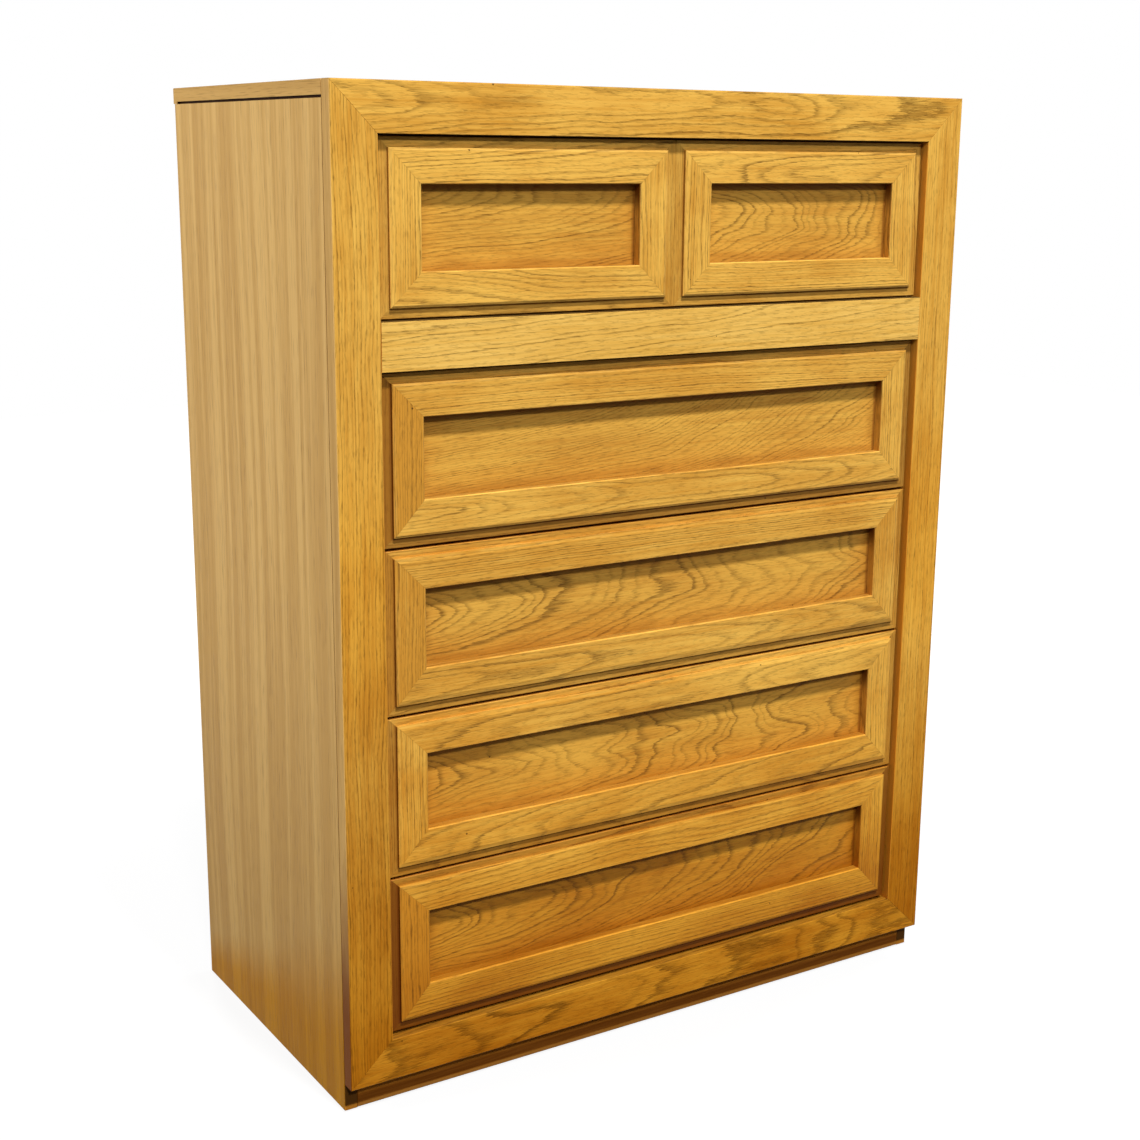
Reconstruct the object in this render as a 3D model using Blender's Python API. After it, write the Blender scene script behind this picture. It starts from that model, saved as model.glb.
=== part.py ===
"""Tall five-drawer oak chest with a mitred face frame and framed drawer fronts.

Metres, +Z up. The front faces -Y, the floor is Z = 0 and the chest is centred on X.
The top drawer carries two raised frames and each lower drawer carries one.
Inside the script a board's depth is measured from the face frame's front towards the back.
"""

import bmesh
import bpy

# Whole chest
WIDTH = 0.965
HEIGHT = 1.285
DEPTH = 0.4985
TOP_OVERHANG = 0.0035
TOE_HEIGHT = 0.0375

# Face frame
FACE_THICK = 0.021
STILE_WIDTH = 0.060
RAIL_WIDTH = 0.060
BOTTOM_RAIL_WIDTH = 0.057

# Carcass boards
SIDE_THICK = 0.018
TOP_THICK = 0.0205
REVEAL_HEIGHT = 0.003
REVEAL_DEPTH = 0.004
REVEAL_STOP = 0.009
BACK_THICK = 0.005
BACK_LIFT = 0.030
BACK_REBATE = 0.009
DUST_THICK = 0.012
DADO_DEPTH = 0.006
TOE_BOARD_THICK = 0.018
GUIDE_WIDTH = 0.020
GUIDE_HEIGHT = 0.016

# Drawer fronts: a stepped frame round one or two set-in panels
DRAWER_COUNT = 5
FRONT_GAP = 0.003
SILL_GAP = 0.004
FRONT_DROP = 0.003
FRONT_RECESS = 0.0055
FRONT_THICK = 0.0215
RAISE = 0.0048
LEDGE = 0.013
MEMBER_WIDTH = 0.0415
CENTRE_STRIP = 0.0276
SLOPE_DROP = 0.0013
SLOPE_WIDTH = 0.0028
BROAD_SLOPE_WIDTH = 0.0058
BROAD_DRAWERS = (2, 3)
PANEL_SINK = 0.014
PANEL_THICK = 0.005
PANEL_REBATE = 0.008

# Drawer boxes: dovetailed at all four corners
BOX_THICK = 0.012
BOX_HEADROOM = 0.020
BOX_BACK_ROOM = 0.012
BOTTOM_THICK = 0.005
BOTTOM_RISE = 0.016
GROOVE_DEPTH = 0.005
TAIL_COUNT = 4
TAIL_SHARE = 0.58
TAIL_SLOPE = 1 / 6
TAIL_LENGTH = 0.009

# Clearances and edges
JOINT = 0.0003
SLIDE_GAP = 0.001
EASE = 0.001
OVERCUT = 0.004

# Places that follow from the sizes above
CASE_DEPTH = DEPTH - TOP_OVERHANG
BACK_FACE = CASE_DEPTH - BACK_THICK
SIDE_INNER = WIDTH / 2 - SIDE_THICK
OPENING_HALF = WIDTH / 2 - STILE_WIDTH
RAILS_HEIGHT = 2 * RAIL_WIDTH + BOTTOM_RAIL_WIDTH + TOE_HEIGHT
FOOT_ROOM = SILL_GAP + FRONT_DROP - FRONT_GAP / 2
DRAWER_PITCH = (HEIGHT - RAILS_HEIGHT - FOOT_ROOM) / DRAWER_COUNT
FRONT_HALF = OPENING_HALF - FRONT_GAP
FRONT_HIGH = (DRAWER_PITCH - FRONT_GAP) / 2
DUST_FRONT = FRONT_RECESS + FRONT_THICK + JOINT
BOX_LOW = (DUST_THICK - DRAWER_PITCH) / 2 + JOINT
BOX_HIGH = (DRAWER_PITCH - DUST_THICK) / 2 - BOX_HEADROOM
BOX_END = BACK_FACE - FRONT_RECESS - BOX_BACK_ROOM
BOX_BACK_FRONT = BOX_END - BOX_THICK
BOTTOM_LOW = BOX_LOW + BOTTOM_RISE
BOTTOM_HIGH = BOTTOM_LOW + BOTTOM_THICK
BACK_LOW = BOTTOM_HIGH + JOINT
WINDOW_INSET = LEDGE + MEMBER_WIDTH


def clear_scene():
    for thing in list(bpy.data.objects):
        bpy.data.objects.remove(thing, do_unlink=True)


def make_finish(name, colour, roughness):
    finish = bpy.data.materials.new(name)
    finish.use_nodes = True
    shader = finish.node_tree.nodes["Principled BSDF"]
    shader.inputs["Base Color"].default_value = (*colour, 1.0)
    shader.inputs["Roughness"].default_value = roughness
    shader.inputs["Metallic"].default_value = 0.0
    return finish


def make_piece(name, shape, finish=None):
    """An object of the finished shape, with its origin at its middle."""
    bmesh.ops.recalc_face_normals(shape, faces=shape.faces)
    corners = [[vert.co[axis] for vert in shape.verts] for axis in range(3)]
    centre = [(min(values) + max(values)) / 2 for values in corners]
    bmesh.ops.translate(shape, verts=shape.verts, vec=[-value for value in centre])
    mesh = bpy.data.meshes.new(name)
    shape.to_mesh(mesh)
    shape.free()
    if finish:
        mesh.materials.append(finish)
    piece = bpy.data.objects.new(name, mesh)
    piece.location = centre
    bpy.context.collection.objects.link(piece)
    return piece


def add_box(shape, across, deep, high):
    """A box between two places along each axis."""
    corner = bmesh.ops.create_cube(shape, size=1.0)["verts"]
    spans = (across, deep, high)
    bmesh.ops.scale(shape, verts=corner, vec=[end - start for start, end in spans])
    bmesh.ops.translate(shape, verts=corner, vec=[(start + end) / 2 for start, end in spans])


def add_prism(shape, outline, place, start, end):
    """An outline of two-value points, extruded. place turns a point and a distance into x, y and z."""
    face = shape.faces.new([shape.verts.new(place(a, b, start)) for a, b in outline])
    sweep = [far - near for near, far in zip(place(0, 0, start), place(0, 0, end))]
    grown = bmesh.ops.extrude_face_region(shape, geom=[face])["geom"]
    moved = [item for item in grown if isinstance(item, bmesh.types.BMVert)]
    bmesh.ops.translate(shape, verts=moved, vec=sweep)


def ease_edges(shape, axis):
    """Takes the sharpness off the edges that run straight along one axis."""
    edges = []
    for edge in shape.edges:
        drift = edge.verts[1].co - edge.verts[0].co
        drift[axis] = 0.0
        if drift.length < EASE:
            edges.append(edge)
    bmesh.ops.bevel(shape, geom=edges, offset=EASE, segments=1, profile=0.5, affect="EDGES", material=-1)


def combine(piece, other, operation):
    """Joins another piece to this one, or cuts it out, and clears the other piece away."""
    step = piece.modifiers.new(operation.title(), "BOOLEAN")
    step.operation = operation
    step.solver = "EXACT"
    step.object = other
    graph = bpy.context.evaluated_depsgraph_get()
    result = bpy.data.meshes.new_from_object(piece.evaluated_get(graph))
    piece.modifiers.remove(step)
    spent = piece.data
    piece.data = result
    result.name = piece.name
    bpy.data.meshes.remove(spent)
    bpy.data.objects.remove(other, do_unlink=True)


def cut_boxes(piece, boxes):
    shape = bmesh.new()
    for across, deep, high in boxes:
        add_box(shape, across, deep, high)
    combine(piece, make_piece("cutter", shape), "DIFFERENCE")


def seat(piece, parent):
    piece.parent = parent
    return piece


def board(name, finish, parent, across, deep, high):
    """A plain board with its long edges eased."""
    shape = bmesh.new()
    add_box(shape, across, deep, high)
    spans = [end - start for start, end in (across, deep, high)]
    ease_edges(shape, spans.index(max(spans)))
    return seat(make_piece(name, shape, finish), parent)


def mirrored(side, near, far):
    """The span between two distances from the middle, on the left (-1) or the right (1)."""
    return tuple(sorted((side * near, side * far)))


def cell_bottom(drawer):
    """Height of the lower end of a drawer's share of the front. Drawer 0 is the top one."""
    rails_above = RAIL_WIDTH if drawer == 0 else 2 * RAIL_WIDTH
    return HEIGHT - rails_above - (drawer + 1) * DRAWER_PITCH


def mitred_member(name, finish, parent, outline, long_axis):
    """One side of the face frame: a length with slanted ends, given as x and z points."""
    shape = bmesh.new()
    add_prism(shape, outline, lambda x, z, deep: (x, deep, z), 0.0, FACE_THICK)
    ease_edges(shape, long_axis)
    return seat(make_piece(name, shape, finish), parent)


def face_frame(parent, finish):
    """Two stiles and two rails mitred like a picture frame, and a plain rail between the stiles."""
    half = WIDTH / 2
    slip = JOINT / 2 ** 0.5
    low = TOE_HEIGHT
    sill = TOE_HEIGHT + BOTTOM_RAIL_WIDTH
    head = HEIGHT - RAIL_WIDTH
    for side, word in ((-1, "left"), (1, "right")):
        stile = [
            (side * half, low + slip),
            (side * OPENING_HALF, sill + slip),
            (side * OPENING_HALF, head - slip),
            (side * half, HEIGHT - slip),
        ]
        mitred_member(f"face_stile_{word}", finish, parent, stile, 2)
    for name, outer, inner in (("face_rail_top", HEIGHT, head), ("face_rail_bottom", low, sill)):
        rail = [
            (slip - half, outer),
            (slip - OPENING_HALF, inner),
            (OPENING_HALF - slip, inner),
            (half - slip, outer),
        ]
        mitred_member(name, finish, parent, rail, 0)
    rail_half = OPENING_HALF - JOINT
    rail_high = cell_bottom(0)
    board("face_rail_middle", finish, parent, (-rail_half, rail_half), (0.0, FACE_THICK),
          (rail_high - RAIL_WIDTH, rail_high))


def side_panels(parent, finish):
    """Sides that stand on the floor, housed for the dust panels and rebated for the back."""
    for side, word in ((-1, "left"), (1, "right")):
        panel = board(f"side_panel_{word}", finish, None, mirrored(side, SIDE_INNER, WIDTH / 2),
                      (FACE_THICK + JOINT, CASE_DEPTH), (0.0, HEIGHT - TOP_THICK - JOINT))
        back_seat = mirrored(side, SIDE_INNER - OVERCUT, SIDE_INNER + BACK_REBATE)
        cut_boxes(panel, [(back_seat, (BACK_FACE - JOINT, CASE_DEPTH + OVERCUT), (-OVERCUT, HEIGHT))])
        housing = mirrored(side, SIDE_INNER - OVERCUT, SIDE_INNER + DADO_DEPTH)
        half = DUST_THICK / 2 + JOINT
        heights = [cell_bottom(drawer) for drawer in range(DRAWER_COUNT)]
        cut_boxes(panel, [(housing, (DUST_FRONT - JOINT, BACK_FACE), (z - half, z + half)) for z in heights])
        seat(panel, parent)


def top_board(parent, finish):
    """The top, with a fine shadow groove along the lower edge of each end."""
    half = WIDTH / 2
    low = HEIGHT - TOP_THICK
    top = board("top_board", finish, None, (-half, half), (FACE_THICK + JOINT, DEPTH), (low, HEIGHT))
    grooves = []
    for side in (-1, 1):
        across = mirrored(side, half - REVEAL_DEPTH, half + OVERCUT)
        deep = (FACE_THICK - OVERCUT, CASE_DEPTH - REVEAL_STOP)
        grooves.append((across, deep, (low - OVERCUT, low + REVEAL_HEIGHT)))
    cut_boxes(top, grooves)
    seat(top, parent)


def inner_carcass(parent, inside, hardboard, dark):
    """Back, dust panels with their drawer guides, and the boards under the lowest panel."""
    back_half = SIDE_INNER + BACK_REBATE - JOINT
    board("back_panel", hardboard, parent, (-back_half, back_half), (BACK_FACE, CASE_DEPTH),
          (BACK_LIFT, HEIGHT - TOP_THICK - JOINT))
    dust_half = SIDE_INNER + DADO_DEPTH - JOINT
    dust_deep = (DUST_FRONT, BACK_FACE - JOINT)
    guide_inner = FRONT_HALF + SLIDE_GAP
    for drawer in range(DRAWER_COUNT):
        middle = cell_bottom(drawer)
        upper = middle + DUST_THICK / 2
        number = drawer + 1
        board(f"dust_panel_{number}", inside, parent, (-dust_half, dust_half), dust_deep,
              (middle - DUST_THICK / 2, upper))
        for side, word in ((-1, "left"), (1, "right")):
            board(f"guide_{number}_{word}", inside, parent,
                  mirrored(side, guide_inner, guide_inner + GUIDE_WIDTH), dust_deep,
                  (upper + JOINT, upper + JOINT + GUIDE_HEIGHT))
    toe_half = SIDE_INNER - JOINT
    toe_high = (0.0, cell_bottom(DRAWER_COUNT - 1) - DUST_THICK / 2 - JOINT)
    toe_front = FACE_THICK + JOINT
    board("toe_board_front", dark, parent, (-toe_half, toe_half), (toe_front, toe_front + TOE_BOARD_THICK),
          toe_high)
    toe_back = BACK_FACE - JOINT
    board("toe_board_back", inside, parent, (-toe_half, toe_half), (toe_back - TOE_BOARD_THICK, toe_back),
          toe_high)


def front_edges(drawer):
    """Heights of a drawer front's lower and upper edge, measured from the middle of its window.

    The four lower fronts hang a little: each reaches down past the even spacing of the windows,
    and the front under it starts that much lower.
    """
    low_drop = FRONT_DROP if drawer > 0 else 0.0
    top_drop = FRONT_DROP if drawer > 1 else 0.0
    return -FRONT_HIGH - low_drop, FRONT_HIGH - top_drop


def stepped_ring(shape, across, high, slope_width):
    """A frame swept round a rectangle with mitred corners: ledge, raised member, recess and rebate.

    high holds the heights of the front's lower and upper edge. The ledge below keeps its width, and
    the raised member above keeps its own. The raised member's outer edge slopes down over the given width.
    """
    left, right = across
    low, top = high
    outer = (left, right, low, top)
    raised = (left + LEDGE, right - LEDGE, low + LEDGE, FRONT_HIGH - LEDGE)
    window = (left + WINDOW_INSET, right - WINDOW_INSET, WINDOW_INSET - FRONT_HIGH, FRONT_HIGH - WINDOW_INSET)
    lip = PANEL_SINK - JOINT
    section = [
        (outer, 0.0, FRONT_THICK),
        (outer, 0.0, RAISE + EASE),
        (outer, EASE, RAISE),
        (raised, 0.0, RAISE),
        (raised, 0.0, SLOPE_DROP),
        (raised, slope_width, 0.0),
        (window, -EASE, 0.0),
        (window, 0.0, EASE),
        (window, 0.0, lip),
        (window, -PANEL_REBATE, lip),
        (window, -PANEL_REBATE, FRONT_THICK),
    ]
    loops = []
    for (near, far, under, over), inset, deep in section:
        near, far = near + inset, far - inset
        under, over = under + inset, over - inset
        corners = ((near, under), (far, under), (far, over), (near, over))
        loops.append([shape.verts.new((x, deep, z)) for x, z in corners])
    for loop, following in zip(loops, loops[1:] + loops[:1]):
        for corner in range(4):
            after = (corner + 1) % 4
            shape.faces.new((loop[corner], loop[after], following[after], following[corner]))


def front_cells(drawer):
    """The spans across a drawer front that each hold one raised frame."""
    if drawer > 0:
        return [(-FRONT_HALF, FRONT_HALF)]
    inner = CENTRE_STRIP / 2 - LEDGE
    return [(-FRONT_HALF, -inner), (inner, FRONT_HALF)]


def tail_edges(low, high, shoulder, tip, grow=0.0):
    """Corner points (deep, z) of each dovetail tail, from its shoulder out to its wider tip."""
    pitch = (high - low) / TAIL_COUNT
    neck = pitch * TAIL_SHARE / 2 + grow
    flare = neck + abs(tip - shoulder) * TAIL_SLOPE
    tails = []
    for number in range(TAIL_COUNT):
        middle = low + (number + 0.5) * pitch
        tails.append([
            (shoulder, middle - neck),
            (tip, middle - flare),
            (tip, middle + flare),
            (shoulder, middle + neck),
        ])
    return tails


def cut_sockets(piece, tails):
    """Cuts the seats of both sides' tails into a drawer front or back."""
    shape = bmesh.new()
    for side in (-1, 1):
        near, far = mirrored(side, FRONT_HALF - BOX_THICK - JOINT, FRONT_HALF + OVERCUT)
        for tail in tails:
            add_prism(shape, tail, lambda deep, z, x: (x, deep, z), near, far)
    combine(piece, make_piece("cutter", shape), "DIFFERENCE")


def drawer_front(drawer, name, finish):
    """The stepped frame of one drawer, socketed for its sides and grooved for its bottom."""
    high = front_edges(drawer)
    cells = front_cells(drawer)
    slope_width = BROAD_SLOPE_WIDTH if drawer in BROAD_DRAWERS else SLOPE_WIDTH
    shape = bmesh.new()
    for cell in cells:
        stepped_ring(shape, cell, high, slope_width)
    front = make_piece(name, shape, finish)
    if len(cells) > 1:
        strip = bmesh.new()
        outline = [
            (FRONT_THICK, -FRONT_HIGH),
            (RAISE + EASE, -FRONT_HIGH),
            (RAISE, EASE - FRONT_HIGH),
            (RAISE, FRONT_HIGH - EASE),
            (RAISE + EASE, FRONT_HIGH),
            (FRONT_THICK, FRONT_HIGH),
        ]
        add_prism(strip, outline, lambda deep, z, x: (x, deep, z), -LEDGE / 2, LEDGE / 2)
        combine(front, make_piece("strip", strip), "UNION")
    groove_half = FRONT_HALF - BOX_THICK + GROOVE_DEPTH
    cut_boxes(front, [((-groove_half, groove_half),
                       (FRONT_THICK - GROOVE_DEPTH, FRONT_THICK + OVERCUT),
                       (BOTTOM_LOW - JOINT, BOTTOM_HIGH + JOINT))])
    cut_sockets(front, tail_edges(BOX_LOW, BOX_HIGH, FRONT_THICK + JOINT,
                                  FRONT_THICK - TAIL_LENGTH - JOINT, JOINT))
    return front


def drawer_side(side, name, finish):
    """A drawer side with tails at both ends and a groove for the bottom."""
    front_tails = tail_edges(BOX_LOW, BOX_HIGH, FRONT_THICK + JOINT, FRONT_THICK - TAIL_LENGTH)
    back_tails = tail_edges(BACK_LOW, BOX_HIGH, BOX_BACK_FRONT - JOINT, BOX_END)
    outline = [(FRONT_THICK + JOINT, BOX_LOW)]
    outline += [point for tail in front_tails for point in tail]
    outline += [(FRONT_THICK + JOINT, BOX_HIGH), (BOX_BACK_FRONT - JOINT, BOX_HIGH)]
    outline += [point for tail in reversed(back_tails) for point in reversed(tail)]
    outline += [(BOX_BACK_FRONT - JOINT, BOTTOM_HIGH), (BOX_END, BOTTOM_HIGH), (BOX_END, BOX_LOW)]
    near, far = mirrored(side, FRONT_HALF - BOX_THICK, FRONT_HALF)
    shape = bmesh.new()
    add_prism(shape, outline, lambda deep, z, x: (x, deep, z), near, far)
    panel = make_piece(name, shape, finish)
    groove = mirrored(side, FRONT_HALF - BOX_THICK - OVERCUT, FRONT_HALF - BOX_THICK + GROOVE_DEPTH)
    cut_boxes(panel, [(groove, (0.0, BOX_END + OVERCUT), (BOTTOM_LOW - JOINT, BOTTOM_HIGH + JOINT))])
    return panel


def drawer_back(name, finish):
    """A drawer back above the bottom, socketed at both ends for the sides' tails."""
    back = board(name, finish, None, (-FRONT_HALF, FRONT_HALF), (BOX_BACK_FRONT, BOX_END),
                 (BACK_LOW, BOX_HIGH))
    cut_sockets(back, tail_edges(BACK_LOW, BOX_HIGH, BOX_BACK_FRONT - JOINT, BOX_END + OVERCUT, JOINT))
    return back


def make_drawer(drawer, chest, front_oak, panel_oak, inside, hardboard):
    """One drawer under an empty that lies on its line of travel."""
    name = f"drawer_{drawer + 1}"
    slide = bpy.data.objects.new(f"{name}_slide", None)
    slide.location = (0.0, FRONT_RECESS, cell_bottom(drawer) + DRAWER_PITCH / 2)
    slide.parent = chest
    bpy.context.collection.objects.link(slide)
    seat(drawer_front(drawer, f"{name}_front_frame", front_oak), slide)
    lap = WINDOW_INSET - PANEL_REBATE + JOINT
    cells = front_cells(drawer)
    words = ["panel"] if len(cells) == 1 else ["panel_left", "panel_right"]
    for cell, word in zip(cells, words):
        board(f"{name}_{word}", panel_oak, slide, (cell[0] + lap, cell[1] - lap),
              (PANEL_SINK, PANEL_SINK + PANEL_THICK), (lap - FRONT_HIGH, FRONT_HIGH - lap))
    for side, word in ((-1, "left"), (1, "right")):
        seat(drawer_side(side, f"{name}_side_{word}", inside), slide)
    seat(drawer_back(f"{name}_back", inside), slide)
    bottom_half = FRONT_HALF - BOX_THICK + GROOVE_DEPTH - JOINT
    board(f"{name}_bottom", hardboard, slide, (-bottom_half, bottom_half),
          (FRONT_THICK - GROOVE_DEPTH + JOINT, BOX_END), (BOTTOM_LOW, BOTTOM_HIGH))


def main():
    clear_scene()
    front_oak = make_finish("oak_front", (0.52, 0.27, 0.055), 0.38)
    panel_oak = make_finish("oak_panel", (0.56, 0.30, 0.065), 0.40)
    side_oak = make_finish("oak_side", (0.47, 0.29, 0.11), 0.42)
    inside = make_finish("drawer_wood", (0.50, 0.36, 0.20), 0.60)
    hardboard = make_finish("hardboard", (0.26, 0.15, 0.07), 0.70)
    dark = make_finish("toe_stain", (0.10, 0.045, 0.015), 0.55)
    chest = bpy.data.objects.new("chest", None)
    chest.location = (0.0, -DEPTH / 2, 0.0)
    bpy.context.collection.objects.link(chest)
    top_board(chest, side_oak)
    side_panels(chest, side_oak)
    face_frame(chest, front_oak)
    inner_carcass(chest, inside, hardboard, dark)
    for drawer in range(DRAWER_COUNT):
        make_drawer(drawer, chest, front_oak, panel_oak, inside, hardboard)


main()
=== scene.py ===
"""Looks of a tall golden oak chest of drawers: finishes for its boards, studio light and camera."""

import math

import bmesh
import bpy
from mathutils import Matrix, Vector


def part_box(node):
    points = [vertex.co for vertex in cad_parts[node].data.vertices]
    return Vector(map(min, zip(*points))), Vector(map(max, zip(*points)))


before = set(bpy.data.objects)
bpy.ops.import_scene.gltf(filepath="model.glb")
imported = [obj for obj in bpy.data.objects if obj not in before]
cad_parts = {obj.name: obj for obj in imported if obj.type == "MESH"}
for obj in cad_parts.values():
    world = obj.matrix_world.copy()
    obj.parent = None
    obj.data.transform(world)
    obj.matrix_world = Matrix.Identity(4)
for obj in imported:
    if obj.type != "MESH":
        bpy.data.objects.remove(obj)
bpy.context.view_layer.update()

FLOAT, VECTOR, COLOUR = "NodeSocketFloat", "NodeSocketVector", "NodeSocketColor"

# How a board's own axes (along the grain, across the face, through the thickness) lie in the chest.
QUARTER = math.pi / 2
LAID_FLAT = (0.0, 0.0, 0.0)
RAIL_WAY = (QUARTER, 0.0, 0.0)
STILE_WAY = (-QUARTER, -QUARTER, 0.0)
SIDE_WAY = (0.0, -QUARTER, 0.0)
DEPTH_WAY = (0.0, 0.0, QUARTER)
END_WAY = (QUARTER, 0.0, QUARTER)

# Drawer fronts, in metres: the ledge round the raised frame, the frame's members
# and how far a panel reaches behind them.
LEDGE = 0.013
MEMBER = 0.0415
PANEL_LAP = 0.0077

# Depths behind the raised face, in metres, where a front starts to count as sunk and where it does in full.
SUNK_START, SUNK_FULL = -0.0015, -0.0042

# A point this close to an edge, in metres, lies on that edge's own face: boards of the face frame,
# drawer fronts, the sides' front edges and the strips at the top's ends.
EDGE_SKIN = 0.0007
FRONT_SKIN = 0.0004
TOE_EDGE_SKIN = 0.0006
STRIP_SKIN = 0.0008

# Height of the shadow groove along the lower edge of the top's ends, in metres, painted dark as its shade.
GROOVE_HEIGHT = 0.0032

# Where the lit foot of the toe ends and its painted shadow starts and is full, in metres above the floor.
SHADE_START, SHADE_FULL = 0.004, 0.008

# Specular levels of the finishes.
FACE_SHEEN = 0.02
TOP_SHEEN = 0.03
TOE_SHEEN = 0.03
FRONT_SHEEN = 0.1
FLOOR_SHEEN = 0.1
PLAIN_SHEEN = 0.25
HARDBOARD_SHEEN = 0.3

# Depth of the relief that grain, pores and specks leave in a surface, in metres.
VENEER_RELIEF = 0.0002
PANEL_RELIEF = 0.0003
SOLID_RELIEF = 0.0004
BUMP_STRENGTH = 0.7

# Waves per metre along, across and through a board.
SWAY_WAVES = (2.6, 6.0, 6.0)
SWELL_WAVES = (3.0, 11.0, 11.0)
RIPPLE_WAVES = (11.0, 42.0, 42.0)
JAG_WAVES = (40.0, 820.0, 820.0)
DASH_WAVES = (85.0, 520.0, 520.0)
BROAD_WAVES = (2.4, 110.0, 110.0)
FINE_WAVES = (14.0, 460.0, 460.0)
BLOTCH_WAVES = (14.0, 26.0, 26.0)
MOTTLE_WAVES = (5.0, 9.0, 9.0)
BEND_WAVES = (1.1, 2.4, 2.4)
RIBBON_WAVES = (0.55, 34.0, 3.0)
LINE_WAVES = (3.0, 330.0, 60.0)
PORE_WAVES = (26.0, 760.0, 160.0)
PATCH_WAVES = (30.0, 120.0, 120.0)
MITRE_WAVES = (160.0, 160.0, 160.0)
RUB_WAVES = (22.0, 22.0, 22.0)
FIBRE_WAVES = (420.0, 420.0, 420.0)
CLOUD_WAVES = (9.0, 9.0, 9.0)
RING_WAVES = 55.0
SPECK_CELLS = 30.0

# How far noise shifts a growth ring, in rings: uneven years, ripples and jags.
UNEVEN_RINGS, RIPPLE_RINGS, JAG_RINGS = 2.2, 1.1, 0.65

# The porous early wood of a year: where it is densest and where it ends, as shares of the ring.
EARLY_PEAK, EARLY_END = 0.09, 0.52

# Darkness of the faintest ring, and the pores left outside the rings; the most of either is 1.
FAINT_RING = 0.25
LATE_PORES = 0.4

# Noise levels where a pore starts and is full, and the shares of broad and of fine noise in the streaks.
PORE_START, PORE_FULL = 0.50, 0.66
BROAD_SHARE, FINE_SHARE = 0.55, 0.45

# Steps in metres that move the noise of one board away from that of another.
SEED_STEP = (3.1, 1.7, 0.9)
SWELL_STEP = (7.0, 3.0, 1.0)

# How much the seed counts in a ring's draw, its steps from member to member and from window to window,
# and what is added to a member's seed to draw its pith's side, its pith's depth and its tone.
RING_SEED = 11.0
MEMBER_SEED = 2.37
WINDOW_SEED = 13.0
SIDE_DRAW, DEPTH_DRAW, TONE_DRAW = 0.31, 5.7, 9.1

# Pith of a mitred member, in metres: how far to the side and how deep it is at least, and their spreads;
# the spread of its tilt is a slope.
SIDE_LEAST, SIDE_SPREAD = 0.05, 0.14
DEPTH_LEAST, DEPTH_SPREAD = 0.02, 0.09
TILT_SPREAD = 0.11

# The dark line along a mitre, in metres from it: to where it is full and where it ends.
MITRE_FULL, MITRE_END = 0.0003, 0.0013

# Levels of streaks or noise between which plain wood, toe board and hardboard go from dark to light.
DARK_LEVEL, LIGHT_LEVEL = 0.35, 0.65

# Gold of the stain: shares of mottle and streaks, and the levels between which it goes from deep to pale.
MOTTLE_SHARE, STREAK_SHARE = 0.45, 0.55
DEEP_LEVEL, PALE_LEVEL = 0.34, 0.66

# Shares of the stain's layers over the gold: amber wash, pores, rubbed gold and specks.
WASH_SHARE, PORE_SHARE, RUB_SHARE, SPECK_SHARE = 0.5, 0.46, 0.16, 0.78

# Darker, more amber tones low down, in metres above the floor: where they are full, where the amber ends
# and how ragged they are.
LOW_FULL = -0.05
AMBER_FULL, AMBER_END = 0.05, 0.65
LOW_RAGGED = 0.20

# Roughness of the stain and what mottle, pores, and painted shade with glaze and mitre lines add.
STAIN_ROUGH, MOTTLE_ROUGH, PORE_ROUGH, DARKENING_ROUGH = 0.30, 0.14, 0.16, 0.10

# Relief of rings and pores, where that of a speck is -1.
RING_HOLLOW, PORE_HOLLOW = -0.25, -0.75

# Specks: least radius and its spread, in cells, and the share of the cells that have none.
SPECK_LEAST, SPECK_SPREAD = 0.014, 0.028
NO_SPECK = 0.62

# Darkening on a drawer front: painted shade at the foot of the raised frame and on the sill, glaze in the
# mitres.
FOOT_SHADE, SILL_SHADE, MITRE_GLAZE = 0.35, 0.55, 0.2

# A drawer front, in metres: how far the painted shade at the foot reaches, where the painted shade starts and
# is full before the raised frame's outer arris, how far from it the rubbed line lies and how far the rub
# reaches.
FOOT_REACH = 0.004
ARRIS_START, ARRIS_FULL = 0.004, 0.0005
RUB_INSET = 0.002
FRONT_RUB = 0.003

# Growth rings of the drawer fronts, the spread of tone among members, and where the low tone ends.
FRONT_PITCH, FRONT_WANDER, FRONT_RING_DEPTH = 0.0040, 0.022, 0.6
TONE_SHARE = 0.12
FRONT_LOW_REACH, PANEL_LOW_REACH = 0.36, 0.42

# Painted shade on a panel: the cloud round its border, and the line of glaze and painted shadow at its ends
# and head.
CLOUD_SHADE, LINE_GLAZE_AND_SHADE = 0.34, 0.8

# A panel's border, in metres: reach of the cloud, how ragged cloud and wash are, and where lines and wash
# are full and end. The wash reaches so many times as far as the cloud.
BORDER_REACH = 0.018
CLOUD_RAGGED, WASH_RAGGED = 0.022, 0.05
END_LINE_FULL, END_LINE_END = 0.001, 0.008
HEAD_LINE_FULL, HEAD_LINE_END = 0.002, 0.012
WASH_FULL = 0.002
WASH_TIMES = 3.2

# Ribbon veneer: how far it bends, in metres, shares of lines and ribbons, the levels between which it goes
# from dark to light, the share of its pores, and its roughness with what mottle adds.
RIBBON_BEND = 0.05
LINE_SHARE, RIBBON_SHARE = 0.45, 0.55
VENEER_LOW_LEVEL, VENEER_HIGH_LEVEL = 0.2, 0.8
VENEER_PORES = 0.35
VENEER_ROUGH, TOP_ROUGH, VENEER_MOTTLE = 0.30, 0.46, 0.16

# Painted amber floor reflection at a side's foot, in metres: its height at the back edge, its rise per metre
# towards the front, how ragged it is and where the low tone ends; where it is full and ends, in shares of its
# height.
REFLECTION_BACK, REFLECTION_RISE = 0.05, 0.34
SIDE_RAGGED = 0.07
SIDE_LOW_END = 0.75
SIDE_REFLECTION_FULL, SIDE_REFLECTION_END = 0.40, 1.25

# Shares of painted shade on the sides' front edges and on the top, and of amber painted as bounced light
# on a stile's inner edge.
TOE_EDGE_SHADE_SHARE = 0.9
TOP_SHADE_SHARE = 0.85
INNER_BOUNCE_SHARE = 0.7

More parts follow.
